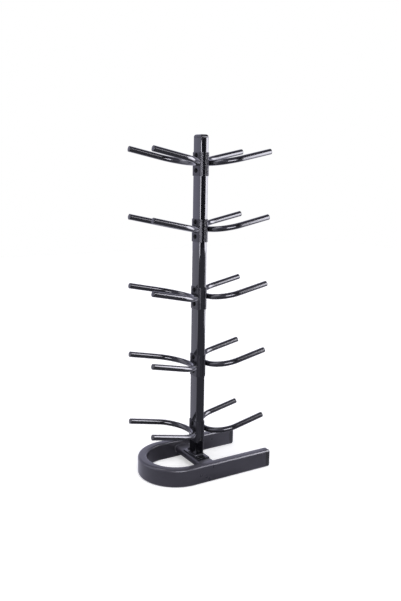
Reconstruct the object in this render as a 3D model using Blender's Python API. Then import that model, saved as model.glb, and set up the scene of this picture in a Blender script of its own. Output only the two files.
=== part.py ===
# Five tier medicine ball rack. A rectangular post stands on a horseshoe base, and ten U-bent cradle arms,
# one pair to a tier, are welded to channel brackets that are bolted through the post.
#
# Metres, +Z up. The floor is z = 0 and the origin is the middle of the rack's footprint. The arms
# reach out to the left (-X) and right (+X), and the open legs of the base point right. The front
# is -Y.

import math

import bmesh
import bpy
from mathutils import Matrix

# Fits
SEAT_GAP = 0.0003          # between faces that are welded or clamped together
PLUG_CLEARANCE = 0.0004    # round a plastic plug in its tube
HOLE_CLEARANCE = 0.001     # on the diameter, round a bolt

# Post
POST_WIDTH = 0.040         # left to right
POST_DEPTH = 0.060         # front to back
POST_WALL = 0.002
POST_CORNER = 0.006
POST_ABOVE_TIERS = 0.106   # middle of the top brackets to the cut end of the tube
TOP_CAP_RIM = 0.0035       # straight edge above the tube
TOP_CAP_CROWN = 0.010      # rise of the rounded crown above the rim
TOP_CAP_SHOULDER = 0.010   # the crown's rounding, measured in from the side
TOP_CAP_PLUG = 0.022

# Foot of the post
FOOT_PLATE_WIDTH = 0.060
FOOT_PLATE_LENGTH = 0.132
FOOT_PLATE_THICKNESS = 0.006
FOOT_PLATE_CORNER = 0.004
FOOT_BOLT_SPACING = 0.102
FOOT_WASHER_DIAMETER = 0.028
FOOT_HEAD_DIAMETER = 0.021

# Base
BASE_TUBE_WIDTH = 0.040
BASE_TUBE_HEIGHT = 0.080
BASE_TUBE_WALL = 0.0025
BASE_TUBE_CORNER = 0.010
BASE_HALF_WIDTH = 0.167    # post axis to the outer side of a leg
BASE_REAR_REACH = 0.273    # post axis to the outside of the bend
LEG_REACH = 0.265          # post axis to the cut end of a leg tube
END_CAP_LENGTH = 0.026
END_CAP_PLUG = 0.020
END_CAP_ROUNDING = 0.012
END_CAP_STEPS = 4

# Crossbeam
CROSSBEAM_WIDTH = 0.074
CROSSBEAM_HEIGHT = 0.030
CROSSBEAM_WALL = 0.0025
CROSSBEAM_CORNER = 0.009
CROSSBEAM_TOP = 0.056

# Tiers, by the middles of their brackets
LOWEST_TIER = 0.1735       # above the floor
TIER_STEPS = (0.303, 0.2985, 0.2885, 0.2735)  # from each tier up to the next, the lowest first

# Brackets
BRACKET_HEIGHT = 0.096
BRACKET_THICKNESS = 0.003
BRACKET_FLANGE_FLAT = 0.0045  # straight stretch of a flange past the bracket's bend
WELD_LIFT = 0.005          # middle of the arm's weld, and of the bolts, above the bracket's middle

# Bolts, all of one thread size
BOLT_SPACING = 0.062
BOLT_DIAMETER = 0.010
TIER_HEAD_DIAMETER = 0.0175
HEAD_HEIGHT = 0.0038
HEAD_CROWN_SHARE = 0.6     # flat top's diameter over the head's
SOCKET_ACROSS_FLATS = 0.006
SOCKET_DEPTH = 0.0022
TIER_WASHER_DIAMETER = 0.020
WASHER_THICKNESS = 0.001
NUT_ACROSS_FLATS = 0.017
NUT_HEIGHT = 0.005
BOLT_TAIL = 0.001          # thread past the nut

# Cradle arms
ARM_DIAMETER = 0.024
ARM_WALL = 0.0015
ARM_SPACING = 0.2112       # between the centre lines of the two prongs
ARM_BEND_RADIUS = 0.104    # of the centre line
ARM_REACH = 0.278          # post axis to the middle of a prong's end face
ARM_RISE = math.radians(12)
ARM_CAP_THICKNESS = 0.004
ARM_CAP_PLUG = 0.016

# Facets
CORNER_STEPS = 3
CROWN_STEPS = 4
ROUND_SIDES = 12
ARM_BEND_STEPS = 5
BASE_BEND_STEPS = 20
SHARP_ANGLE = math.radians(35)

# Worked out from the sizes above
TIER_HEIGHTS = [LOWEST_TIER + sum(TIER_STEPS[:rise]) for rise in range(len(TIER_STEPS), -1, -1)]
POST_TOP = TIER_HEIGHTS[0] + POST_ABOVE_TIERS
WEB_INNER = POST_WIDTH / 2 + SEAT_GAP  # these four are measured from the middle of the post
WEB_OUTER = WEB_INNER + BRACKET_THICKNESS
FLANGE_INNER = POST_DEPTH / 2 + SEAT_GAP
FLANGE_EDGE = POST_WIDTH / 2 - POST_CORNER - BRACKET_FLANGE_FLAT
ARM_RADIUS = ARM_DIAMETER / 2
ARM_START = WEB_OUTER + SEAT_GAP + ARM_RADIUS
ARM_LIP = ARM_RADIUS * math.cos(math.pi / ROUND_SIDES) * math.sin(ARM_RISE)
RIGHT_REACH = max(LEG_REACH + END_CAP_LENGTH, ARM_REACH + ARM_LIP)
LEFT_REACH = max(BASE_REAR_REACH, ARM_REACH + ARM_LIP)
POST_X = (LEFT_REACH - RIGHT_REACH) / 2
LEG_CENTRE = BASE_HALF_WIDTH - BASE_TUBE_WIDTH / 2
BEND_CENTRE_X = BASE_HALF_WIDTH - BASE_REAR_REACH
FOOT_PLATE_BOTTOM = CROSSBEAM_TOP + SEAT_GAP
FOOT_PLATE_TOP = FOOT_PLATE_BOTTOM + FOOT_PLATE_THICKNESS
POST_BOTTOM = FOOT_PLATE_TOP + SEAT_GAP


def clear_scene():
    for item in list(bpy.data.objects):
        bpy.data.objects.remove(item, do_unlink=True)


def make_material(name, colour, roughness, metallic):
    material = bpy.data.materials.new(name)
    material.use_nodes = True
    shader = material.node_tree.nodes["Principled BSDF"]
    shader.inputs["Base Color"].default_value = (*colour, 1.0)
    shader.inputs["Roughness"].default_value = roughness
    shader.inputs["Metallic"].default_value = metallic
    return material


def make_mesh(name, rings, material, bored=False):
    """Mesh skinned from ring to ring, each with the same number of points.

    A solid is closed by flat ends. A bored piece has its last ring joined to its first, so its
    rings run along the outside and back through the bore."""
    shape = bmesh.new()
    made = [[shape.verts.new(point) for point in ring] for ring in rings]
    pairs = list(zip(made, made[1:]))
    if bored:
        pairs.append((made[-1], made[0]))
    else:
        shape.faces.new(made[0])
        shape.faces.new(made[-1])
    for first, second in pairs:
        for k in range(-1, len(first) - 1):
            shape.faces.new((first[k], first[k + 1], second[k + 1], second[k]))
    bmesh.ops.recalc_face_normals(shape, faces=shape.faces)
    mesh = bpy.data.meshes.new(name)
    shape.to_mesh(mesh)
    shape.free()
    mesh.materials.append(material)
    mesh.shade_smooth()
    mesh.set_sharp_from_angle(angle=SHARP_ANGLE)
    return mesh


def add_node(name, mesh, rack, place=None):
    node = bpy.data.objects.new(name, mesh)
    bpy.context.collection.objects.link(node)
    node.parent = rack
    if place:
        node.matrix_local = place
    return node


def rounded_rectangle(width, height, corner):
    """Outline round the origin as (a, b) pairs, anticlockwise."""
    points = []
    for quarter, (side_a, side_b) in enumerate(((1, 1), (-1, 1), (-1, -1), (1, -1))):
        for step in range(CORNER_STEPS + 1):
            angle = math.pi / 2 * (quarter + step / CORNER_STEPS)
            points.append((side_a * (width / 2 - corner) + corner * math.cos(angle),
                           side_b * (height / 2 - corner) + corner * math.sin(angle)))
    return points


def circle(radius):
    """Outline as (a, b) pairs, with a flat towards each axis."""
    angles = [2 * math.pi * (k + 0.5) / ROUND_SIDES for k in range(ROUND_SIDES)]
    return [(radius * math.cos(angle), radius * math.sin(angle)) for angle in angles]


def hexagon(across_flats):
    """Outline as (a, b) pairs at the circle's angles, so that the two can be skinned together."""
    points = []
    for k in range(ROUND_SIDES):
        angle = 2 * math.pi * (k + 0.5) / ROUND_SIDES
        past_flat = 2 * math.pi * k / ROUND_SIDES % (math.pi / 3)
        reach = across_flats / 2 / math.cos(min(past_flat, math.pi / 3 - past_flat))
        points.append((reach * math.cos(angle), reach * math.sin(angle)))
    return points


def along_z(outline, z):
    return [(a, b, z) for a, b in outline]


def along_x(outline, x):
    return [(x, a, b) for a, b in outline]


def hole_cutter(name, places, direction, length, rack):
    """Straight pins in one object that cut a row of bolt holes, each centred on its place."""
    pins = bmesh.new()
    radius = (BOLT_DIAMETER + HOLE_CLEARANCE) / 2
    for place in places:
        bmesh.ops.create_cone(pins, cap_ends=True, segments=ROUND_SIDES, depth=length,
                              radius1=radius, radius2=radius,
                              matrix=Matrix.Translation(place) @ direction)
    mesh = bpy.data.meshes.new(name)
    pins.to_mesh(mesh)
    pins.free()
    cutter = bpy.data.objects.new(name, mesh)
    bpy.context.collection.objects.link(cutter)
    cutter.parent = rack
    cutter.hide_render = True
    cutter.display_type = "WIRE"
    return cutter


def cut_holes(node, cutter):
    cut = node.modifiers.new("bolt_holes", "BOOLEAN")
    cut.operation = "DIFFERENCE"
    cut.solver = "EXACT"
    cut.object = cutter


def base_rings(width, height, corner):
    """Sections of the base tube from the end of one leg, round the bend, to the end of the other."""
    stations = [(LEG_REACH, -LEG_CENTRE, 0.0, -1.0)]
    for step in range(BASE_BEND_STEPS + 1):
        angle = -math.pi * (0.5 + step / BASE_BEND_STEPS)
        out_x = math.cos(angle)
        out_y = math.sin(angle)
        stations.append((BEND_CENTRE_X + LEG_CENTRE * out_x, LEG_CENTRE * out_y, out_x, out_y))
    stations.append((LEG_REACH, LEG_CENTRE, 0.0, 1.0))
    return [[(x + a * out_x, y + a * out_y, BASE_TUBE_HEIGHT / 2 + b)
             for a, b in rounded_rectangle(width, height, corner)] for x, y, out_x, out_y in stations]


def make_base(coat, plastic, rack):
    """Bent tube that lies on the floor, with a rounded plastic cap in either leg."""
    bore = (BASE_TUBE_WIDTH - 2 * BASE_TUBE_WALL, BASE_TUBE_HEIGHT - 2 * BASE_TUBE_WALL,
            BASE_TUBE_CORNER - BASE_TUBE_WALL)
    outside = base_rings(BASE_TUBE_WIDTH, BASE_TUBE_HEIGHT, BASE_TUBE_CORNER)
    inside = base_rings(*bore)
    add_node("base_frame", make_mesh("base_frame", outside + inside[::-1], coat, bored=True), rack)

    plug = rounded_rectangle(bore[0] - 2 * PLUG_CLEARANCE, bore[1] - 2 * PLUG_CLEARANCE, bore[2])
    seat = LEG_REACH + SEAT_GAP
    rings = [along_x(plug, LEG_REACH - END_CAP_PLUG), along_x(plug, seat)]
    rings.append(along_x(rounded_rectangle(BASE_TUBE_WIDTH, BASE_TUBE_HEIGHT, BASE_TUBE_CORNER), seat))
    for step in range(END_CAP_STEPS + 1):
        angle = math.pi / 2 * step / END_CAP_STEPS
        inset = END_CAP_ROUNDING * (1 - math.cos(angle))
        x = LEG_REACH + END_CAP_LENGTH - END_CAP_ROUNDING * (1 - math.sin(angle))
        outline = rounded_rectangle(BASE_TUBE_WIDTH - 2 * inset, BASE_TUBE_HEIGHT - 2 * inset,
                                    BASE_TUBE_CORNER - inset / 2)
        rings.append(along_x(outline, x))
    cap = make_mesh("base_end_cap", rings, plastic)
    for word, y in (("front", -LEG_CENTRE), ("back", LEG_CENTRE)):
        add_node(f"base_end_cap_{word}", cap, rack, Matrix.Translation((0, y, BASE_TUBE_HEIGHT / 2)))


def make_crossbeam(coat, rack):
    """Flat tube between the legs, clear of the floor."""
    half = LEG_CENTRE - BASE_TUBE_WIDTH / 2 - SEAT_GAP
    middle = CROSSBEAM_TOP - CROSSBEAM_HEIGHT / 2

    def section(y, inset):
        outline = rounded_rectangle(CROSSBEAM_WIDTH - 2 * inset, CROSSBEAM_HEIGHT - 2 * inset,
                                    CROSSBEAM_CORNER - inset)
        return [(a, y, middle + b) for a, b in outline]

    rings = [section(-half, 0), section(half, 0),
             section(half, CROSSBEAM_WALL), section(-half, CROSSBEAM_WALL)]
    return add_node("base_crossbeam", make_mesh("base_crossbeam", rings, coat, bored=True), rack)


def make_foot_plate(coat, rack):
    outline = rounded_rectangle(FOOT_PLATE_WIDTH, FOOT_PLATE_LENGTH, FOOT_PLATE_CORNER)
    rings = [along_z(outline, FOOT_PLATE_BOTTOM), along_z(outline, FOOT_PLATE_TOP)]
    return add_node("post_foot_plate", make_mesh("post_foot_plate", rings, coat), rack)


def post_section(z, inset, corner):
    return along_z(rounded_rectangle(POST_WIDTH - 2 * inset, POST_DEPTH - 2 * inset, corner), z)


def make_post(coat, rack):
    bore_corner = POST_CORNER - POST_WALL
    rings = [post_section(POST_BOTTOM, 0, POST_CORNER), post_section(POST_TOP, 0, POST_CORNER),
             post_section(POST_TOP, POST_WALL, bore_corner),
             post_section(POST_BOTTOM, POST_WALL, bore_corner)]
    return add_node("post", make_mesh("post", rings, coat, bored=True), rack)


def make_top_cap(plastic, rack):
    """Plastic cap with a low rounded crown, plugged into the top of the post."""
    plug = POST_WALL + PLUG_CLEARANCE
    seat = POST_TOP + SEAT_GAP
    rings = [post_section(POST_TOP - TOP_CAP_PLUG, plug, POST_CORNER - plug),
             post_section(seat, plug, POST_CORNER - plug), post_section(seat, 0, POST_CORNER)]
    for step in range(CROWN_STEPS + 1):
        angle = math.pi / 2 * step / CROWN_STEPS
        inset = TOP_CAP_SHOULDER * (1 - math.cos(angle))
        z = seat + TOP_CAP_RIM + TOP_CAP_CROWN * math.sin(angle)
        rings.append(post_section(z, inset, POST_CORNER - inset / 2))
    add_node("post_top_cap", make_mesh("post_top_cap", rings, plastic), rack)


def channel_outline():
    """Section of a bracket that wraps the left side of the post, as (x, y) pairs."""
    outline = []
    for skin, start in ((BRACKET_THICKNESS, 1), (0, -1)):
        corner = POST_CORNER + SEAT_GAP + skin
        flange = FLANGE_INNER + skin
        outline.append((-FLANGE_EDGE, start * flange))
        for side in (start, -start):
            for step in range(CORNER_STEPS + 1):
                turned = step if side == start else CORNER_STEPS - step
                angle = math.pi / 2 * turned / CORNER_STEPS
                outline.append((corner - WEB_INNER - skin - corner * math.sin(angle),
                                side * (flange - corner + corner * math.cos(angle))))
        outline.append((-FLANGE_EDGE, -start * flange))
    return outline


def make_brackets(coat, cutter, rack):
    outline = channel_outline()
    rings = [along_z(outline, -BRACKET_HEIGHT / 2), along_z(outline, BRACKET_HEIGHT / 2)]
    mesh = make_mesh("bracket", rings, coat)
    for tier, height in enumerate(TIER_HEIGHTS, 1):
        for word, turn in (("left", 0.0), ("right", math.pi)):
            place = Matrix.Translation((0, 0, height)) @ Matrix.Rotation(turn, 4, "Z")
            cut_holes(add_node(f"tier_{tier}_bracket_{word}", mesh, rack, place), cutter)


def arm_rings(radius, length):
    """Sections of an arm in its own plane, from one open end, round the closed end, to the other."""
    half = ARM_SPACING / 2
    stations = [(length, -half, 0.0, -1.0)]
    for side in (-1, 1):
        for step in range(ARM_BEND_STEPS + 1):
            turned = step if side < 0 else ARM_BEND_STEPS - step
            angle = math.pi / 2 * turned / ARM_BEND_STEPS
            out_x = -math.sin(angle)
            out_y = side * math.cos(angle)
            stations.append((ARM_BEND_RADIUS * (1 + out_x),
                             side * (half - ARM_BEND_RADIUS) + ARM_BEND_RADIUS * out_y, out_x, out_y))
    stations.append((length, half, 0.0, 1.0))
    return [[(x + a * out_x, y + a * out_y, b) for a, b in circle(radius)]
            for x, y, out_x, out_y in stations]


def make_arms(coat, plastic, rack):
    """Ten identical bent tubes that rise outwards, with a plastic cap in each end."""
    tube_end = (ARM_REACH - ARM_START) / math.cos(ARM_RISE) - ARM_CAP_THICKNESS - SEAT_GAP
    bore = ARM_RADIUS - ARM_WALL
    tube = make_mesh("cradle_arm", arm_rings(ARM_RADIUS, tube_end) + arm_rings(bore, tube_end)[::-1],
                     coat, bored=True)
    seat = tube_end + SEAT_GAP
    plug = circle(bore - PLUG_CLEARANCE)
    rim = circle(ARM_RADIUS)
    cap = make_mesh("arm_cap", [along_x(plug, tube_end - ARM_CAP_PLUG), along_x(plug, seat),
                                along_x(rim, seat), along_x(rim, seat + ARM_CAP_THICKNESS)], plastic)
    for tier, height in enumerate(TIER_HEIGHTS, 1):
        for word, turn in (("left", math.pi), ("right", 0.0)):
            place = (Matrix.Translation((0, 0, height + WELD_LIFT)) @ Matrix.Rotation(turn, 4, "Z")
                     @ Matrix.Translation((ARM_START, 0, 0)) @ Matrix.Rotation(-ARM_RISE, 4, "Y"))
            add_node(f"tier_{tier}_arm_{word}", tube, rack, place)
            front = -ARM_SPACING / 2 * math.cos(turn)
            for end, y in (("front", front), ("back", -front)):
                add_node(f"tier_{tier}_arm_{word}_cap_{end}", cap, rack,
                         place @ Matrix.Translation((0, y, 0)))


def make_bolt_mesh(name, grip_low, grip_high, head_diameter, washer_diameter, metal):
    """Button head bolt along +Z, drawn up with its nut and two washers as one solid.

    It clamps what lies between grip_low, at the nut, and grip_high, at the head."""
    shank = circle(BOLT_DIAMETER / 2)
    washer = circle(washer_diameter / 2)
    head = circle(head_diameter / 2)
    nut = hexagon(NUT_ACROSS_FLATS)
    socket = hexagon(SOCKET_ACROSS_FLATS)
    nut_top = grip_low - SEAT_GAP - WASHER_THICKNESS
    nut_bottom = nut_top - NUT_HEIGHT
    head_bottom = grip_high + SEAT_GAP + WASHER_THICKNESS
    crown = head_bottom + HEAD_HEIGHT
    levels = ((shank, nut_bottom - BOLT_TAIL), (shank, nut_bottom), (nut, nut_bottom), (nut, nut_top),
              (washer, nut_top), (washer, grip_low - SEAT_GAP), (shank, grip_low - SEAT_GAP),
              (shank, grip_high + SEAT_GAP), (washer, grip_high + SEAT_GAP), (washer, head_bottom),
              (head, head_bottom), (head, head_bottom + HEAD_HEIGHT / 4),
              (circle(head_diameter / 2 * HEAD_CROWN_SHARE), crown), (socket, crown),
              (socket, crown - SOCKET_DEPTH))
    return make_mesh(name, [along_z(outline, z) for outline, z in levels], metal)


def make_bolts(metal, rack):
    tier_bolt = make_bolt_mesh("tier_bolt", -WEB_OUTER, WEB_OUTER, TIER_HEAD_DIAMETER,
                               TIER_WASHER_DIAMETER, metal)
    heads_left = Matrix.Rotation(-math.pi / 2, 4, "Y")
    for tier, height in enumerate(TIER_HEIGHTS, 1):
        for word, offset in (("upper", BOLT_SPACING / 2), ("lower", -BOLT_SPACING / 2)):
            place = Matrix.Translation((0, 0, height + WELD_LIFT + offset)) @ heads_left
            add_node(f"tier_{tier}_bolt_{word}", tier_bolt, rack, place)

    foot_bolt = make_bolt_mesh("foot_bolt", CROSSBEAM_TOP - CROSSBEAM_HEIGHT, FOOT_PLATE_TOP,
                               FOOT_HEAD_DIAMETER, FOOT_WASHER_DIAMETER, metal)
    for word, y in (("front", -FOOT_BOLT_SPACING / 2), ("back", FOOT_BOLT_SPACING / 2)):
        add_node(f"foot_bolt_{word}", foot_bolt, rack, Matrix.Translation((0, y, 0)))


def main():
    clear_scene()
    coat = make_material("post_coat", (0.030, 0.030, 0.034), 0.32, 0.0)
    arm_coat = make_material("arm_coat", (0.018, 0.018, 0.021), 0.22, 0.0)
    base_coat = make_material("base_coat", (0.050, 0.049, 0.056), 0.45, 0.0)
    plastic = make_material("cap_plastic", (0.040, 0.040, 0.042), 0.50, 0.0)
    bolt_metal = make_material("bolt_metal", (0.012, 0.012, 0.013), 0.40, 0.8)

    rack = bpy.data.objects.new("rack", None)
    bpy.context.collection.objects.link(rack)
    rack.location = (POST_X, 0, 0)

    tier_holes = hole_cutter("tier_bolt_holes",
                             [(0, 0, height + WELD_LIFT + side * BOLT_SPACING / 2)
                              for height in TIER_HEIGHTS for side in (-1, 1)],
                             Matrix.Rotation(math.pi / 2, 4, "Y"), 3 * WEB_OUTER, rack)
    foot_holes = hole_cutter("foot_bolt_holes",
                             [(0, side * FOOT_BOLT_SPACING / 2, CROSSBEAM_TOP) for side in (-1, 1)],
                             Matrix.Identity(4), 3 * CROSSBEAM_HEIGHT, rack)

    make_base(base_coat, plastic, rack)
    cut_holes(make_crossbeam(base_coat, rack), foot_holes)
    cut_holes(make_foot_plate(coat, rack), foot_holes)
    cut_holes(make_post(coat, rack), tier_holes)
    make_top_cap(plastic, rack)
    make_brackets(coat, tier_holes, rack)
    make_arms(arm_coat, plastic, rack)
    make_bolts(bolt_metal, rack)


main()
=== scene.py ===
# Looks of a five tier medicine ball rack: fine steel, caps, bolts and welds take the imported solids' place.
# Metres, +Z up, in the frame's own place. The front is -Y and the open ends of the base point to +X.

import math

import bmesh
import bpy
from mathutils import Matrix, Vector


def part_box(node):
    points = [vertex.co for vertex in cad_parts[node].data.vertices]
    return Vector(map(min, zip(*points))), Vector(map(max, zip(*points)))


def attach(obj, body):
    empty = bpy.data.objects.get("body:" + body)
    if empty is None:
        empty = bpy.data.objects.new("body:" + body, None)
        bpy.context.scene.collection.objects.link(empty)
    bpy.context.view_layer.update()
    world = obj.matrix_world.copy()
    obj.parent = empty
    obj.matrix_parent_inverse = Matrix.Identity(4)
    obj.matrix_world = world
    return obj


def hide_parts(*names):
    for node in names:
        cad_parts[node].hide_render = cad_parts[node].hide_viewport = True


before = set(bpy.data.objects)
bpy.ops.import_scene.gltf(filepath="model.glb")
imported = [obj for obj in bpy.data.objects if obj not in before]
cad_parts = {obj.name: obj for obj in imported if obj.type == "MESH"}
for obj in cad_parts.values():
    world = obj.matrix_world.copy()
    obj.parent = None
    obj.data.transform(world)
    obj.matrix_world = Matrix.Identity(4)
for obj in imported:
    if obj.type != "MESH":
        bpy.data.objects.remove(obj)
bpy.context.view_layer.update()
postLow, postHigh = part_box("post")
postX = (postLow.x + postHigh.x) / 2
rackPlace = Matrix.Translation((postX, 0, 0))  # pieces are drawn round the post's axis, then moved here
tiers = range(1, 6)
fit = {
    "gap": 0.0003,  # between pieces that touch
    "plugClearance": 0.0004,  # round a plastic plug in its tube
    "cornerSteps": 8,  # faces round a tube's corner
    "smoothAngle": 32.0,  # degrees between faces that shade as one
    "bevelAngle": 40.0,  # degrees between faces whose edge is broken
    "bevelSteps": 3,
}
print("frame:", len(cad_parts), "nodes")


# Shader tools

def newGroup(name, inputs, outputs):
    group = bpy.data.node_groups.new(name, "ShaderNodeTree")
    for label, kind, value in inputs:
        group.interface.new_socket(name=label, in_out="INPUT", socket_type=kind).default_value = value
    for label, kind in outputs:
        group.interface.new_socket(name=label, in_out="OUTPUT", socket_type=kind)
    return group, group.nodes.new("NodeGroupInput").outputs, group.nodes.new("NodeGroupOutput").inputs


def feed(tree, socket, value):
    # a number or colour is set, anything else is linked
    if isinstance(value, (int, float, tuple)):
        socket.default_value = value
    else:
        tree.links.new(value, socket)


def objectPlace(tree):
    return tree.nodes.new("ShaderNodeTexCoord").outputs["Object"]


def noise(tree, place, scale, detail, rough):
    node = tree.nodes.new("ShaderNodeTexNoise")
    for label, value in (("Vector", place), ("Scale", scale), ("Detail", detail), ("Roughness", rough)):
        feed(tree, node.inputs[label], value)
    return node.outputs["Fac"]


def rescale(tree, value, low, high, toLow, toHigh):
    node = tree.nodes.new("ShaderNodeMapRange")
    for label, bound in (("Value", value), ("From Min", low), ("From Max", high), ("To Min", toLow),
                         ("To Max", toHigh)):
        feed(tree, node.inputs[label], bound)
    return node.outputs["Result"]


def calc(tree, operation, first, second):
    node = tree.nodes.new("ShaderNodeMath")
    node.operation = operation
    feed(tree, node.inputs[0], first)
    feed(tree, node.inputs[1], second)
    return node.outputs["Value"]


def mixColour(tree, amount, first, second):
    node = tree.nodes.new("ShaderNodeMix")
    node.data_type = "RGBA"
    colours = [socket for socket in node.inputs if socket.type == "RGBA"]
    for socket, value in zip([node.inputs["Factor"]] + colours, (amount, first, second)):
        feed(tree, socket, value)
    return next(socket for socket in node.outputs if socket.type == "RGBA")


coatPattern = {
    "peel": (2.0, 0.5),  # detail and roughness of the noise, whose scale each coat gives
    "speck": (2600.0, 2.0, 0.7),  # scale, detail and roughness
    "cloud": (9.0, 4.0, 0.6),
    "speckRange": (0.56, 0.74),  # noise values from no fleck to full fleck
    "speckShare": 0.75,
    "speckHeight": 0.12,  # beside the peel's height
    "cloudRange": (0.3, 0.7),
    "cloudShare": 0.22,
    "bumpStrength": 0.6,
}


def buildCoatGroup():
    # powder coat: orange peel, a fine speckle and slow changes of gloss
    group, given, out = newGroup(
        "powderCoat",
        [("Colour", "NodeSocketColor", (0.02, 0.02, 0.02, 1)),
         ("Fleck", "NodeSocketColor", (0.05, 0.05, 0.05, 1)),
         ("Gloss Low", "NodeSocketFloat", 0.25), ("Gloss High", "NodeSocketFloat", 0.35),
         ("Peel Scale", "NodeSocketFloat", 420.0)],
        [("Colour", "NodeSocketColor"), ("Roughness", "NodeSocketFloat"), ("Height", "NodeSocketFloat")])
    place = objectPlace(group)
    peel = noise(group, place, given["Peel Scale"], *coatPattern["peel"])
    speck = noise(group, place, *coatPattern["speck"])
    cloud = noise(group, place, *coatPattern["cloud"])
    cloudRange = coatPattern["cloudRange"]
    specks = rescale(group, speck, *coatPattern["speckRange"], 0.0, coatPattern["speckShare"])
    clouds = rescale(group, cloud, *cloudRange, 0.0, coatPattern["cloudShare"])
    flecks = calc(group, "MAXIMUM", specks, clouds)
    feed(group, out["Colour"], mixColour(group, flecks, given["Colour"], given["Fleck"]))
    rough = rescale(group, cloud, *cloudRange, given["Gloss Low"], given["Gloss High"])
    feed(group, out["Roughness"], rough)
    fine = calc(group, "MULTIPLY", speck, coatPattern["speckHeight"])
    feed(group, out["Height"], calc(group, "ADD", peel, fine))
    return group


dustPattern = {
    "colour": (0.36, 0.35, 0.37, 1),
    "steepest": 0.35,  # Z of the normal from which dust lies on a face
    "patches": (34.0, 5.0, 0.65),  # scale, detail and roughness of the noise
    "patchRange": (0.35, 0.75),
    "thinnest": 0.2,  # share of the dust between the patches
}


def buildDustGroup():
    # fine dust that settles on faces that look up
    group, given, out = newGroup(
        "settledDust",
        [("Colour", "NodeSocketColor", (0.02, 0.02, 0.02, 1)), ("Dust", "NodeSocketFloat", 0.1)],
        [("Colour", "NodeSocketColor")])
    facing = group.nodes.new("ShaderNodeSeparateXYZ")
    feed(group, facing.inputs["Vector"], group.nodes.new("ShaderNodeNewGeometry").outputs["Normal"])
    upward = rescale(group, facing.outputs["Z"], dustPattern["steepest"], 1.0, 0.0, 1.0)
    cloud = noise(group, objectPlace(group), *dustPattern["patches"])
    patches = rescale(group, cloud, *dustPattern["patchRange"], dustPattern["thinnest"], 1.0)
    amount = calc(group, "MULTIPLY", calc(group, "MULTIPLY", upward, patches), given["Dust"])
    feed(group, out["Colour"], mixColour(group, amount, given["Colour"], dustPattern["colour"]))
    return group


coatGroup = buildCoatGroup()
dustGroup = buildDustGroup()


def useGroup(tree, group, values):
    node = tree.nodes.new("ShaderNodeGroup")
    node.node_tree = group
    for label, value in values.items():
        feed(tree, node.inputs[label], value)
    return node.outputs


def newMaterial(name):
    material = bpy.data.materials.new(name)
    material.use_nodes = True
    return material, material.node_tree, material.node_tree.nodes["Principled BSDF"].inputs


def roughen(tree, height, shader, strength, depth):
    bump = tree.nodes.new("ShaderNodeBump")
    bump.inputs["Strength"].default_value = strength
    bump.inputs["Distance"].default_value = depth
    feed(tree, bump.inputs["Height"], height)
    feed(tree, shader["Normal"], bump.outputs["Normal"])


# Materials

# gloss is roughness, peelScale the scale of the peel's noise and peelDepth its height in metres
coatLooks = {
    "postCoat": {"colour": (0.0050, 0.0049, 0.0070, 1), "fleck": (0.011, 0.0105, 0.014, 1),
                 "glossLow": 0.045, "glossHigh": 0.07, "peelScale": 300.0, "peelDepth": 0.000002,
                 "dust": 0.02, "ior": 1.6},
    "armCoat": {"colour": (0.0055, 0.0054, 0.0075, 1), "fleck": (0.012, 0.0115, 0.015, 1),
                "glossLow": 0.14, "glossHigh": 0.19, "peelScale": 300.0, "peelDepth": 0.000002,
                "dust": 0.02, "ior": 1.6},
    "bracketCoat": {"colour": (0.0310, 0.0302, 0.0380, 1), "fleck": (0.042, 0.041, 0.050, 1),
                    "glossLow": 0.20, "glossHigh": 0.26, "peelScale": 360.0, "peelDepth": 0.000004,
                    "dust": 0.02, "ior": 1.34},
    "baseCoat": {"colour": (0.0270, 0.0255, 0.0340, 1), "fleck": (0.058, 0.055, 0.070, 1),
                 "glossLow": 0.26, "glossHigh": 0.33, "peelScale": 420.0, "peelDepth": 0.000014,
                 "dust": 0.05, "ior": 1.5},
}


def makeCoat(name):
    look = coatLooks[name]
    material, tree, shader = newMaterial(name)
    coat = useGroup(tree, coatGroup, {"Colour": look["colour"], "Fleck": look["fleck"],
                                      "Gloss Low": look["glossLow"], "Gloss High": look["glossHigh"],
                                      "Peel Scale": look["peelScale"]})
    dusty = useGroup(tree, dustGroup, {"Colour": coat["Colour"], "Dust": look["dust"]})
    feed(tree, shader["Base Color"], dusty["Colour"])
    feed(tree, shader["Roughness"], coat["Roughness"])
    feed(tree, shader["IOR"], look["ior"])
    roughen(tree, coat["Height"], shader, coatPattern["bumpStrength"], look["peelDepth"])
    return material


capLook = {"colour": (0.008, 0.008, 0.009, 1), "worn": (0.018, 0.018, 0.019, 1), "glossLow": 0.20,
           "glossHigh": 0.28, "grainScale": 1500.0, "grainStrength": 0.5, "grainDepth": 0.00001,
           "cloud": (60.0, 4.0, 0.6),  # scale, detail and roughness of the noise
           "wornRange": (0.45, 0.75), "glossRange": (0.3, 0.7)}


def makeCapPlastic():
    material, tree, shader = newMaterial("capPlastic")
    place = objectPlace(tree)
    grain = tree.nodes.new("ShaderNodeTexVoronoi")
    feed(tree, grain.inputs["Vector"], place)
    feed(tree, grain.inputs["Scale"], capLook["grainScale"])
    cloud = noise(tree, place, *capLook["cloud"])
    worn = rescale(tree, cloud, *capLook["wornRange"], 0.0, 1.0)
    feed(tree, shader["Base Color"], mixColour(tree, worn, capLook["colour"], capLook["worn"]))
    gloss = rescale(tree, cloud, *capLook["glossRange"], capLook["glossLow"], capLook["glossHigh"])
    feed(tree, shader["Roughness"], gloss)
    roughen(tree, grain.outputs["Distance"], shader, capLook["grainStrength"], capLook["grainDepth"])
    return material


boltLook = {"colour": (0.003, 0.003, 0.0035, 1), "rubbed": (0.009, 0.009, 0.010, 1), "glossLow": 0.42,
            "glossHigh": 0.56, "specular": 0.08, "grainStrength": 0.4, "grainDepth": 0.00003,
            "smear": (180.0, 5.0, 0.65),  # scale, detail and roughness of the noise
            "grain": (1800.0, 2.0, 0.5), "rubbedRange": (0.50, 0.78), "glossRange": (0.3, 0.7)}


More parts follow.
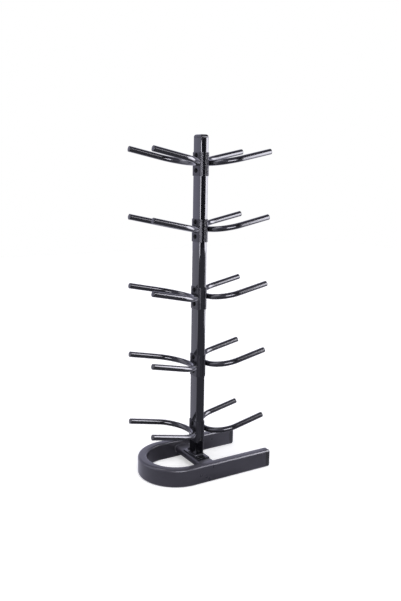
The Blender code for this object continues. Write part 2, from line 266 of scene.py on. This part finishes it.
def makeBoltMetal():
    material, tree, shader = newMaterial("boltMetal")
    feed(tree, shader["Specular IOR Level"], boltLook["specular"])
    place = objectPlace(tree)
    smear = noise(tree, place, *boltLook["smear"])
    rubbed = rescale(tree, smear, *boltLook["rubbedRange"], 0.0, 1.0)
    feed(tree, shader["Base Color"], mixColour(tree, rubbed, boltLook["colour"], boltLook["rubbed"]))
    gloss = rescale(tree, smear, *boltLook["glossRange"], boltLook["glossHigh"], boltLook["glossLow"])
    feed(tree, shader["Roughness"], gloss)
    grain = noise(tree, place, *boltLook["grain"])
    roughen(tree, grain, shader, boltLook["grainStrength"], boltLook["grainDepth"])
    return material


finishes = {name: makeCoat(name) for name in coatLooks}
finishes["capPlastic"] = makeCapPlastic()
finishes["boltMetal"] = makeBoltMetal()
print("materials:", len(finishes))


# Mesh tools

def skinRings(rings, bored=False):
    # faces from ring to ring, with flat ends, or with the last ring joined to the first
    shape = bmesh.new()
    made = [[shape.verts.new(point) for point in ring] for ring in rings]
    pairs = list(zip(made, made[1:]))
    if bored:
        pairs.append((made[-1], made[0]))
    else:
        shape.faces.new(made[0])
        shape.faces.new(made[-1])
    for first, second in pairs:
        for k in range(-1, len(first) - 1):
            shape.faces.new((first[k], first[k + 1], second[k + 1], second[k]))
    bmesh.ops.recalc_face_normals(shape, faces=shape.faces)
    return shape


def addPiece(name, shape, finish, place, node=None, chamfer=None):
    mesh = bpy.data.meshes.new(name)
    shape.to_mesh(mesh)
    shape.free()
    mesh.transform(place)
    mesh.materials.append(finishes[finish])
    mesh.shade_smooth()
    mesh.set_sharp_from_angle(angle=math.radians(fit["smoothAngle"]))
    piece = bpy.data.objects.new(name, mesh)
    bpy.context.scene.collection.objects.link(piece)
    if chamfer:
        bevel = piece.modifiers.new("edges", "BEVEL")
        bevel.width = chamfer
        bevel.segments = fit["bevelSteps"]
        bevel.limit_method = "ANGLE"
        bevel.angle_limit = math.radians(fit["bevelAngle"])
        bevel.harden_normals = True
    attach(piece, "root")
    if node:
        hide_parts(node)
    return piece


def roundedRect(width, height, corner):
    # outline round the origin as (a, b) pairs, anticlockwise
    points = []
    for quarter, (sideA, sideB) in enumerate(((1, 1), (-1, 1), (-1, -1), (1, -1))):
        for step in range(fit["cornerSteps"] + 1):
            angle = math.pi / 2 * (quarter + step / fit["cornerSteps"])
            points.append((sideA * (width / 2 - corner) + corner * math.cos(angle),
                           sideB * (height / 2 - corner) + corner * math.sin(angle)))
    return points


def circle(radius, sides):
    angles = [2 * math.pi * k / sides for k in range(sides)]
    return [(radius * math.cos(angle), radius * math.sin(angle)) for angle in angles]


def hexagon(acrossFlats, sides, widest):
    # as many points as a circle has, with the hexagon's corners cut off at the widest radius
    points = []
    for k in range(sides):
        angle = 2 * math.pi * k / sides
        pastFlat = (angle + math.pi / 6) % (math.pi / 3) - math.pi / 6
        reach = min(acrossFlats / 2 / math.cos(pastFlat), widest)
        points.append((reach * math.cos(angle), reach * math.sin(angle)))
    return points


def atX(outline, x):
    return [(x, a, b) for a, b in outline]


def atZ(outline, z):
    return [(a, b, z) for a, b in outline]


weldShape = {
    "ripple": 0.0024,
    "rippleDepth": 0.09,  # this share and the next two are of the bead's leg
    "rootDepth": 0.2,
    "endShare": 0.45,
    "steps": 7,
    "stepsPerRipple": 4,
}


def weldBead(name, path, size, finish, place, closed=False):
    # rippled fillet; the path's points are (corner, direction up one steel face, direction up the other)
    stops = path + path[:1] if closed else path
    stations = []
    for (start, *startWays), (end, *endWays) in zip(stops, stops[1:]):
        start, end = Vector(start), Vector(end)
        pieces = max(1, round((end - start).length / weldShape["ripple"] * weldShape["stepsPerRipple"]))
        for k in range(pieces):
            ways = [Vector(a).lerp(Vector(b), k / pieces).normalized() for a, b in zip(startWays, endWays)]
            stations.append((start.lerp(end, k / pieces), *ways))
    if not closed:
        stations.append((Vector(path[-1][0]), Vector(path[-1][1]), Vector(path[-1][2])))
    rings = []
    for k, (corner, first, second) in enumerate(stations):
        wave = math.cos(2 * math.pi * k / weldShape["stepsPerRipple"])
        fade = 1.0
        if not closed:
            fromEnd = min(k, len(stations) - 1 - k) / weldShape["stepsPerRipple"]
            fade = min(1.0, weldShape["endShare"] + (1 - weldShape["endShare"]) * fromEnd)
        leg = size * fade * (1 + weldShape["rippleDepth"] * wave)
        angles = [math.pi / 2 * step / weldShape["steps"] for step in range(weldShape["steps"] + 1)]
        ring = [corner + leg * (first * math.cos(angle) + second * math.sin(angle)) for angle in angles]
        ring.append(corner - size * weldShape["rootDepth"] * (first + second))
        rings.append(ring)
    return addPiece(name, skinRings(rings, bored=closed), finish, place)


# Base: horseshoe tube, its two end caps, and the crossbeam that carries the post

base = {"width": 0.040, "height": 0.080, "wall": 0.0025, "corner": 0.010, "bendSteps": 72,
        "capPlug": 0.020,  # depth of the plug in the tube
        "capRounding": 0.012, "capSteps": 10,
        "seam": 0.0006}  # groove between tube and cap
frameLow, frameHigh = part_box("base_frame")
legCentre = frameHigh.y - base["width"] / 2
legEnd = frameHigh.x - postX
bendX = frameLow.x - postX + frameHigh.y  # centre of the bend


def baseRings(width, height, corner):
    stations = [(legEnd, -legCentre, 0.0, -1.0)]
    for step in range(base["bendSteps"] + 1):
        angle = -math.pi * (0.5 + step / base["bendSteps"])
        outX, outY = math.cos(angle), math.sin(angle)
        stations.append((bendX + legCentre * outX, legCentre * outY, outX, outY))
    stations.append((legEnd, legCentre, 0.0, 1.0))
    outline = roundedRect(width, height, corner)
    return [[(x + a * outX, y + a * outY, base["height"] / 2 + b) for a, b in outline]
            for x, y, outX, outY in stations]


def buildBaseFrame():
    outside = baseRings(base["width"], base["height"], base["corner"])
    inside = baseRings(base["width"] - 2 * base["wall"], base["height"] - 2 * base["wall"],
                       base["corner"] - base["wall"])
    addPiece("baseFrame", skinRings(outside + inside[::-1], bored=True), "baseCoat", rackPlace, "base_frame")


def buildEndCaps():
    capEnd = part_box("base_end_cap_front")[1].x - postX
    plugInset = base["wall"] + fit["plugClearance"]
    seat = legEnd + fit["gap"]

    def section(x, inset, corner):
        return atX(roundedRect(base["width"] - 2 * inset, base["height"] - 2 * inset, corner), x)

    rings = [section(legEnd - base["capPlug"], plugInset, base["corner"] - base["wall"]),
             section(seat, plugInset, base["corner"] - base["wall"]),
             section(seat, base["seam"], base["corner"] - base["seam"]),
             section(seat + base["seam"], 0, base["corner"])]
    for step in range(base["capSteps"] + 1):
        angle = math.pi / 2 * step / base["capSteps"]
        inset = base["capRounding"] * (1 - math.cos(angle))
        rings.append(section(capEnd - base["capRounding"] * (1 - math.sin(angle)), inset,
                             base["corner"] - inset / 2))
    for word, y in (("front", -legCentre), ("back", legCentre)):
        place = rackPlace @ Matrix.Translation((0, y, base["height"] / 2))
        addPiece(f"endCap_{word}", skinRings(rings), "capPlastic", place, f"base_end_cap_{word}")


beam = {"wall": 0.0025, "corner": 0.009, "weld": 0.005}
beamLow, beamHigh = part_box("base_crossbeam")


def beamOutline(inset):
    return roundedRect(beamHigh.x - beamLow.x - 2 * inset, beamHigh.z - beamLow.z - 2 * inset,
                       beam["corner"] - inset)


def buildCrossbeam():
    middle = (beamHigh.z + beamLow.z) / 2
    rings = [[(a, y, middle + b) for a, b in beamOutline(inset)]
             for y, inset in ((beamLow.y, 0), (beamHigh.y, 0), (beamHigh.y, beam["wall"]),
                              (beamLow.y, beam["wall"]))]
    addPiece("crossbeam", skinRings(rings, bored=True), "baseCoat", rackPlace, "base_crossbeam")
    outer, inner = beamOutline(0), beamOutline(beam["wall"])
    for word, y, inward in (("front", beamLow.y, 1), ("back", beamHigh.y, -1)):
        path = [((a, y, middle + b), (a - c, 0, b - d), (0, inward, 0))
                for (a, b), (c, d) in zip(outer, inner)]
        weldBead(f"crossbeamWeld_{word}", path, beam["weld"], "baseCoat", rackPlace, closed=True)


buildBaseFrame()
buildEndCaps()
buildCrossbeam()
print("base: frame, caps, crossbeam and welds")


# Post: foot plate, tube and domed cap

post = {"wall": 0.002, "corner": 0.006, "plateCorner": 0.004, "plateEdge": 0.0008,
        "plateTurn": 0.3,  # where the plate's upper edge turns over, as a share of the edge
        "weld": 0.006, "capPlug": 0.022,
        "capRim": 0.0035,  # height of the cap's upright side
        "capShoulder": 0.010,  # how far the dome draws in to its flat top
        "capSteps": 14, "capSeam": 0.0005}
postWidth = postHigh.x - postLow.x
postDepth = postHigh.y - postLow.y


def postSection(z, inset, corner):
    return atZ(roundedRect(postWidth - 2 * inset, postDepth - 2 * inset, corner), z)


def buildPost():
    bore = (post["wall"], post["corner"] - post["wall"])
    rings = [postSection(postLow.z, 0, post["corner"]), postSection(postHigh.z, 0, post["corner"]),
             postSection(postHigh.z, *bore), postSection(postLow.z, *bore)]
    addPiece("postTube", skinRings(rings, bored=True), "postCoat", rackPlace, "post")

    plateLow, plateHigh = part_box("post_foot_plate")
    edge = post["plateEdge"]
    turn = edge * post["plateTurn"]

    def plateSection(z, inset):
        return atZ(roundedRect(plateHigh.x - plateLow.x - 2 * inset, plateHigh.y - plateLow.y - 2 * inset,
                               post["plateCorner"] - inset), z)

    rings = [plateSection(plateLow.z, edge), plateSection(plateLow.z + edge, 0),
             plateSection(plateHigh.z - edge, 0), plateSection(plateHigh.z - turn, turn),
             plateSection(plateHigh.z, edge)]
    addPiece("footPlate", skinRings(rings), "postCoat", rackPlace, "post_foot_plate")

    outer = postSection(plateHigh.z, 0, post["corner"])
    inner = postSection(plateHigh.z, *bore)
    path = [(point, (point[0] - other[0], point[1] - other[1], 0), (0, 0, 1))
            for point, other in zip(outer, inner)]
    weldBead("postWeld", path, post["weld"], "postCoat", rackPlace, closed=True)


def buildPostCap():
    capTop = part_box("post_top_cap")[1].z
    seat = postHigh.z + fit["gap"]
    rim = seat + post["capRim"]
    plugInset = post["wall"] + fit["plugClearance"]
    rings = [postSection(postHigh.z - post["capPlug"], plugInset, post["corner"] - plugInset),
             postSection(seat, plugInset, post["corner"] - plugInset),
             postSection(seat, post["capSeam"], post["corner"] - post["capSeam"]),
             postSection(seat + post["capSeam"], 0, post["corner"])]
    for step in range(post["capSteps"] + 1):
        angle = math.pi / 2 * step / post["capSteps"]
        inset = post["capShoulder"] * (1 - math.cos(angle))
        rings.append(postSection(rim + (capTop - rim) * math.sin(angle), inset, post["corner"] - inset / 2))
    addPiece("postCap", skinRings(rings), "capPlastic", rackPlace, "post_top_cap")


buildPost()
buildPostCap()
print("post: plate, tube, weld and cap")


# Brackets

bracket = {"thickness": 0.003, "edge": 0.0006, "bendSteps": 16,
           "flangeFlat": 0.0045,  # straight stretch of a flange past its bend
           "flangeClosed": 3.5}  # degrees that the press closed it past square
bracketBoxes = {(tier, word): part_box(f"tier_{tier}_bracket_{word}")
                for tier in tiers for word in ("left", "right")}
webOuter = postX - bracketBoxes[1, "left"][0].x
flangeOuter = bracketBoxes[1, "left"][1].y
tierHeight = {tier: sum(corner.z for corner in bracketBoxes[tier, "left"]) / 2 for tier in tiers}
turns = {"left": math.pi, "right": 0.0}  # every pair is drawn for the right side, then turned


def bracketOutline():
    # section that wraps the right side of the post, as (x, y) pairs
    outline = []
    flangeEdge = postWidth / 2 - post["corner"] - bracket["flangeFlat"]
    closing = bracket["flangeFlat"] * math.tan(math.radians(bracket["flangeClosed"]))
    for inset, start in ((0, 1), (bracket["thickness"], -1)):
        corner = post["corner"] + fit["gap"] + bracket["thickness"] - inset
        web, flange = webOuter - inset, flangeOuter - inset
        outline.append((flangeEdge, start * (flange - closing)))
        for side in (start, -start):
            for step in range(bracket["bendSteps"] + 1):
                turned = step if side == start else bracket["bendSteps"] - step
                angle = math.pi / 2 * turned / bracket["bendSteps"]
                outline.append((web - corner + corner * math.sin(angle),
                                side * (flange - corner + corner * math.cos(angle))))
        outline.append((flangeEdge, -start * (flange - closing)))
    return outline


def buildBrackets():
    for (tier, word), (low, high) in bracketBoxes.items():
        shape = skinRings([atZ(bracketOutline(), low.z), atZ(bracketOutline(), high.z)])
        place = rackPlace @ Matrix.Rotation(turns[word], 4, "Z")
        addPiece(f"bracket_{tier}_{word}", shape, "bracketCoat", place, f"tier_{tier}_bracket_{word}",
                 bracket["edge"])


buildBrackets()
print("brackets:", len(bracketBoxes))


# Cradle arms, their caps and the welds that hold them

arm = {"diameter": 0.024, "wall": 0.0015,
       "spacing": 0.2112,  # between the middles of the two prongs
       "bendRadius": 0.104,
       "reach": 0.278,  # from the post's axis
       "rise": 12.0,  # degrees
       "lift": 0.005,  # above the middle of the bracket
       "sides": 32, "bendSteps": 24, "capThickness": 0.004, "capPlug": 0.016, "capRounding": 0.0014,
       "capSteps": 5, "capSeam": 0.0004, "weldSize": 0.0050,
       "weldHalf": 0.014,  # half of the bead's length
       "weldOffset": 0.003}  # from the tube's axis to the root of each bead
armRadius = arm["diameter"] / 2
armStart = webOuter + fit["gap"] + armRadius
armRise = math.radians(arm["rise"])
tubeEnd = (arm["reach"] - armStart) / math.cos(armRise) - arm["capThickness"] - fit["gap"]


def armRings(radius):
    half = arm["spacing"] / 2
    bend = arm["bendRadius"]
    stations = [(tubeEnd, -half, 0.0, -1.0)]
    for side in (-1, 1):
        for step in range(arm["bendSteps"] + 1):
            turned = step if side < 0 else arm["bendSteps"] - step
            angle = math.pi / 2 * turned / arm["bendSteps"]
            outX, outY = -math.sin(angle), side * math.cos(angle)
            stations.append((bend * (1 + outX), side * (half - bend) + bend * outY, outX, outY))
    stations.append((tubeEnd, half, 0.0, 1.0))
    return [[(x + a * outX, y + a * outY, b) for a, b in circle(radius, arm["sides"])]
            for x, y, outX, outY in stations]


def armCapRings():
    seat = tubeEnd + fit["gap"]
    end = seat + arm["capThickness"]
    levels = [(armRadius - arm["wall"] - fit["plugClearance"], tubeEnd - arm["capPlug"]),
              (armRadius - arm["wall"] - fit["plugClearance"], seat), (armRadius - arm["capSeam"], seat),
              (armRadius, seat + arm["capSeam"])]
    for step in range(arm["capSteps"] + 1):
        angle = math.pi / 2 * step / arm["capSteps"]
        levels.append((armRadius - arm["capRounding"] * (1 - math.cos(angle)),
                       end - arm["capRounding"] * (1 - math.sin(angle))))
    return [atX(circle(radius, arm["sides"]), x) for radius, x in levels]


def buildArms():
    for tier in tiers:
        for word, turn in turns.items():
            height = Matrix.Translation((0, 0, tierHeight[tier] + arm["lift"]))
            side = rackPlace @ height @ Matrix.Rotation(turn, 4, "Z")
            place = side @ Matrix.Translation((armStart, 0, 0)) @ Matrix.Rotation(-armRise, 4, "Y")
            tube = skinRings(armRings(armRadius) + armRings(armRadius - arm["wall"])[::-1], bored=True)
            addPiece(f"arm_{tier}_{word}", tube, "armCoat", place, f"tier_{tier}_arm_{word}")
            front = -arm["spacing"] / 2 * math.cos(turn)
            for end, y in (("front", front), ("back", -front)):
                addPiece(f"armCap_{tier}_{word}_{end}", skinRings(armCapRings()), "capPlastic",
                         place @ Matrix.Translation((0, y, 0)), f"tier_{tier}_arm_{word}_cap_{end}")
            for level, up in (("upper", 1), ("lower", -1)):
                path = [((webOuter, y, up * arm["weldOffset"]), (0, 0, up), (1, 0, 0))
                        for y in (-arm["weldHalf"], arm["weldHalf"])]
                weldBead(f"armWeld_{tier}_{word}_{level}", path, arm["weldSize"], "bracketCoat", side)


buildArms()
print("arms:", 2 * len(tiers))


# Bolts: head with a hexagon socket, washers, nut and thread end, drawn along +Z

bolt = {"sides": 48, "diameter": 0.010, "threadPitch": 0.001, "threadDepth": 0.0008,
        "tail": 0.001,  # thread past the nut
        "headHeight": 0.0038, "headEdge": 0.0008, "headSteps": 7,
        "crown": 0.55,  # width of the head's flat top as a share of the head
        "socket": 0.006,  # across flats
        "socketRim": 0.0037,  # radius of the countersink round the socket
        "socketLead": 0.0003, "socketDepth": 0.0022, "washer": 0.001, "washerEdge": 0.0002,
        "nutFlats": 0.017, "nutHeight": 0.005,
        "nutFace": 0.0079,  # radius of the nut's flat face, inside the chamfer
        "nutChamfer": 0.0014,
        "chamferShares": (0.0, 0.35, 0.7, 1.0),  # of the chamfer's height, where it has rings
        "spacing": 0.062,  # between the two bolts of a tier
        "tierHead": 0.0175, "tierWasher": 0.020, "footHead": 0.021, "footWasher": 0.028}


def boltRings(nutSeat, headSeat, headDiameter, washerDiameter):
    # nutSeat and headSeat are the faces of the clamped steel, the nut below and the head above
    sides = bolt["sides"]
    shank = bolt["diameter"] / 2
    corner = bolt["nutFlats"] / 2 / math.cos(math.pi / 6)
    nutTop = nutSeat - fit["gap"] - bolt["washer"]
    nutBottom = nutTop - bolt["nutHeight"]
    tailEnd = nutBottom - bolt["tail"]
    root = circle(shank - bolt["threadDepth"], sides)
    rings = [atZ(root, tailEnd)]
    turnsOut = round(bolt["tail"] / bolt["threadPitch"])
    for k in range(turnsOut):
        rings.append(atZ(circle(shank, sides), tailEnd + (k + 0.5) * bolt["threadPitch"]))
        rings.append(atZ(root, tailEnd + (k + 1) * bolt["threadPitch"]))

    def nutSection(z, widest):
        return atZ(hexagon(bolt["nutFlats"], sides, widest), z)

    face = bolt["nutFace"]
    chamfer = [(share, face + (corner - face) * share) for share in bolt["chamferShares"]]
    rings += [nutSection(nutBottom + share * bolt["nutChamfer"], widest) for share, widest in chamfer]
    rings += [nutSection(nutTop - share * bolt["nutChamfer"], widest) for share, widest in reversed(chamfer)]

    def washerRings(low):
        edge, high = bolt["washerEdge"], low + bolt["washer"]
        levels = ((low, edge), (low + edge, 0), (high - edge, 0), (high, edge))
        return [atZ(circle(washerDiameter / 2 - inset, sides), z) for z, inset in levels]

    rings += washerRings(nutTop)
    rings += [atZ(circle(shank, sides), z) for z in (nutSeat - fit["gap"], headSeat + fit["gap"])]
    rings += washerRings(headSeat + fit["gap"])
    headBottom = headSeat + fit["gap"] + bolt["washer"]
    headTop = headBottom + bolt["headHeight"]
    head = headDiameter / 2
    rings.append(atZ(circle(head, sides), headBottom))
    for step in range(bolt["headSteps"] + 1):
        angle = math.pi / 2 * step / bolt["headSteps"]
        radius = head * (bolt["crown"] + (1 - bolt["crown"]) * math.cos(angle))
        low = headBottom + bolt["headEdge"]
        rings.append(atZ(circle(radius, sides), low + (headTop - low) * math.sin(angle)))
    rings.append(atZ(circle(bolt["socketRim"], sides), headTop))
    rings.append(atZ(hexagon(bolt["socket"], sides, bolt["socket"]), headTop - bolt["socketLead"]))
    rings.append(atZ(hexagon(bolt["socket"], sides, bolt["socket"]), headTop - bolt["socketDepth"]))
    return rings


def buildBolts():
    headsLeft = Matrix.Rotation(-math.pi / 2, 4, "Y")
    for tier in tiers:
        for word, offset in (("upper", bolt["spacing"] / 2), ("lower", -bolt["spacing"] / 2)):
            rings = boltRings(-webOuter, webOuter, bolt["tierHead"], bolt["tierWasher"])
            height = Matrix.Translation((0, 0, tierHeight[tier] + arm["lift"] + offset))
            addPiece(f"bolt_{tier}_{word}", skinRings(rings), "boltMetal", rackPlace @ height @ headsLeft,
                     f"tier_{tier}_bolt_{word}")
    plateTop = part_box("post_foot_plate")[1].z
    for word in ("front", "back"):
        low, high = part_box(f"foot_bolt_{word}")
        rings = boltRings(beamLow.z, plateTop, bolt["footHead"], bolt["footWasher"])
        place = rackPlace @ Matrix.Translation((0, (low.y + high.y) / 2, 0))
        addPiece(f"footBolt_{word}", skinRings(rings), "boltMetal", place, f"foot_bolt_{word}")


buildBolts()
print("bolts: tier and foot")


# Floor, light and camera

studio = {
    "floorSize": 14.0,
    "floorRough": 0.9,
    "floorColour": (0.80, 0.80, 0.81, 1),
    "floorSeen": 0.48,  # glow added where the camera looks at the floor
    "floorFront": (0.34, 0.34, 0.42, 1),  # paper in front as the gloss shows it, a glow with painted shade for being away from the lamps
    "floorBack": (1.0, 0.99, 1.2, 1),  # and behind
    "floorFade": (-0.5, 0.3),  # where the one gives way to the other, along Y
    "floorShade": (0.15, 0.27, 0.25),  # painted shadow inside the base, in the glow that the gloss shows: radius of the full shade, its outer end, light left
    "sky": 1.0,  # white backdrop, behind the object and all round the camera's view
    "skyTint": (0.94, 0.93, 1.0, 1),
    "skyLight": 0.45,  # strength on matt surfaces
    "glossTint": (1.06, 1.05, 1.36, 1),  # cool cast of the room that the gloss shows
    "darkSide": 0.06,  # unlit room in front
    "darkFrom": -0.20,  # Y of the direction where the backdrop ends
    "darkTo": -0.50,  # and where the dark is full
    "leftFrom": 0.02,  # X of the direction where the lit left side begins
    "leftTo": -0.10,
    "leftLit": 0.8,
    "ceilingFrom": 0.30,  # Z of the direction where the ceiling begins
    "ceilingTo": 0.75,
    "ceiling": 0.45,  # share of the light that is left there
    "lampTint": (1.0, 0.99, 1.10),
}


def buildFloor():
    half = studio["floorSize"] / 2
    corners = ((-half, -half, 0), (half, -half, 0), (half, half, 0), (-half, half, 0))
    shape = bmesh.new()
    shape.faces.new([shape.verts.new(corner) for corner in corners])
    mesh = bpy.data.meshes.new("floor")
    shape.to_mesh(mesh)
    shape.free()
    material, tree, shader = newMaterial("floorPaper")
    feed(tree, shader["Roughness"], studio["floorRough"])
    feed(tree, shader["Specular IOR Level"], 0.0)
    ray = tree.nodes.new("ShaderNodeLightPath").outputs
    reflected = calc(tree, "MAXIMUM", ray["Is Glossy Ray"], ray["Is Transmission Ray"])
    place = tree.nodes.new("ShaderNodeSeparateXYZ")
    feed(tree, place.inputs["Vector"], objectPlace(tree))
    # for reflected rays the paper glows instead of taking light: painted light, darker in front, with a
    # painted shadow inside the base
    behind = rescale(tree, place.outputs["Y"], *studio["floorFade"], 0.0, 1.0)
    paper = mixColour(tree, behind, studio["floorFront"], studio["floorBack"])
    reach = tree.nodes.new("ShaderNodeVectorMath")
    reach.operation = "LENGTH"
    feed(tree, reach.inputs[0], objectPlace(tree))
    shadeTo, shadeEnd, shade = studio["floorShade"]
    lit = rescale(tree, reach.outputs["Value"], shadeTo, shadeEnd, shade, 1.0)
    feed(tree, shader["Base Color"], mixColour(tree, reflected, studio["floorColour"], (0.0, 0.0, 0.0, 1)))
    feed(tree, shader["Emission Color"], mixColour(tree, reflected, (1.0, 1.0, 1.0, 1), paper))
    seen = calc(tree, "MULTIPLY", ray["Is Camera Ray"], studio["floorSeen"])
    feed(tree, shader["Emission Strength"], calc(tree, "ADD", seen, calc(tree, "MULTIPLY", reflected, lit)))
    mesh.materials.append(material)
    floor = bpy.data.objects.new("floor", mesh)
    bpy.context.scene.collection.objects.link(floor)


def buildSky():
    # white for the camera, and for gloss a white backdrop that gives way to a dark room in front
    world = bpy.data.worlds.new("studio")
    bpy.context.scene.world = world
    world.use_nodes = True
    tree = world.node_tree
    back = tree.nodes["Background"]
    ray = tree.nodes.new("ShaderNodeLightPath").outputs
    direction = tree.nodes.new("ShaderNodeSeparateXYZ")
    feed(tree, direction.inputs["Vector"], tree.nodes.new("ShaderNodeTexCoord").outputs["Generated"])
    reflected = calc(tree, "MAXIMUM", ray["Is Glossy Ray"], ray["Is Transmission Ray"])
    behind = rescale(tree, direction.outputs["Y"], studio["darkTo"], studio["darkFrom"], studio["darkSide"],
                     studio["sky"])
    left = rescale(tree, direction.outputs["X"], studio["leftTo"], studio["leftFrom"], studio["leftLit"],
                   0.0)
    above = rescale(tree, direction.outputs["Z"], studio["ceilingFrom"], studio["ceilingTo"], 1.0,
                    studio["ceiling"])
    room = calc(tree, "MULTIPLY", calc(tree, "MAXIMUM", behind, left), above)
    lit = rescale(tree, reflected, 0.0, 1.0, studio["skyLight"], room)
    tint = mixColour(tree, reflected, studio["skyTint"], studio["glossTint"])
    feed(tree, back.inputs["Color"], mixColour(tree, ray["Is Camera Ray"], tint, (1.0, 1.0, 1.0, 1)))
    feed(tree, back.inputs["Strength"], rescale(tree, ray["Is Camera Ray"], 0.0, 1.0, lit, studio["sky"]))


lamps = {
    # even light from above, without gloss
    "overhead": {"kind": "SUN", "place": (-0.6, -1.0, 3.0), "aim": (0, 0, 0), "spread": 40.0,
                 "strength": 1.5},
    # softboxes that only the gloss shows: ahead, on the right, above and on the left
    "frontBox": {"kind": "AREA", "place": (-0.717, -2.499, 1.06), "aim": (0, 0, 1.06), "size": (1.69, 0.9),
                 "radiance": 16.0},
    "rightBox": {"kind": "AREA", "place": (1.4, -1.275, 1.49), "aim": (0, -1.275, 1.49),
                 "size": (1.55, 1.62), "radiance": 13.0},
    "rightLow": {"kind": "AREA", "place": (1.4, -1.16, 0.39), "aim": (0, -1.16, 0.39), "size": (1.52, 0.58),
                 "radiance": 7.0},
    "cornerBox": {"kind": "AREA", "place": (1.35, -2.5, 2.15), "aim": (0, 0, 0.8), "size": (0.5, 0.9),
                  "radiance": 5.0},
    "topBox": {"kind": "AREA", "place": (-1.3, 0.45, 3.0), "aim": (-0.2, -0.1, 0.0), "size": (1.2, 1.2),
               "radiance": 5.0},
    "leftWall": {"kind": "AREA", "place": (-2.2, 0.75, 1.2), "aim": (0, 0.75, 1.2), "size": (2.3, 3.4),
                 "radiance": 1.1},
}


def buildLamps():
    for name, values in lamps.items():
        light = bpy.data.lights.new(name, values["kind"])
        lamp = bpy.data.objects.new(name, light)
        if values["kind"] == "SUN":
            light.angle = math.radians(values["spread"])
            light.energy = values["strength"]
            lamp.visible_glossy = False
        else:
            light.shape = "RECTANGLE"
            light.size, light.size_y = values["size"]
            light.energy = values["radiance"] * math.pi * light.size * light.size_y
            light.color = studio["lampTint"]
            lamp.visible_diffuse = False
            lamp.visible_camera = False
        aim = Vector(values["aim"]) - Vector(values["place"])
        lamp.location = values["place"]
        lamp.rotation_euler = aim.to_track_quat("-Z", "Y").to_euler()
        bpy.context.scene.collection.objects.link(lamp)


view = {"fromPost": (-1.5096, -2.4748, 1.3395), "yaw": 31.536, "pitch": -11.272, "roll": 0.917,
        "lens": 41.17}


def buildCamera():
    # yaw turns right from +Y, pitch is up, and roll tips the camera's own right side up
    yaw, pitch, roll = (math.radians(view[key]) for key in ("yaw", "pitch", "roll"))
    ahead = Vector((math.sin(yaw) * math.cos(pitch), math.cos(yaw) * math.cos(pitch), math.sin(pitch)))
    level = Vector((math.cos(yaw), -math.sin(yaw), 0))
    above = level.cross(ahead)
    right = level * math.cos(roll) + above * math.sin(roll)
    up = above * math.cos(roll) - level * math.sin(roll)
    camera = bpy.data.cameras.new("camera")
    camera.lens = view["lens"]
    holder = bpy.data.objects.new("camera", camera)
    place = Matrix((right, up, -ahead)).transposed().to_4x4()
    place.translation = rackPlace @ Vector(view["fromPost"])
    holder.matrix_world = place
    bpy.context.scene.collection.objects.link(holder)
    bpy.context.scene.camera = holder


buildFloor()
buildSky()
buildLamps()
buildCamera()
bpy.context.scene.view_settings.view_transform = "Standard"
print("studio: floor, sky, lamps and camera")
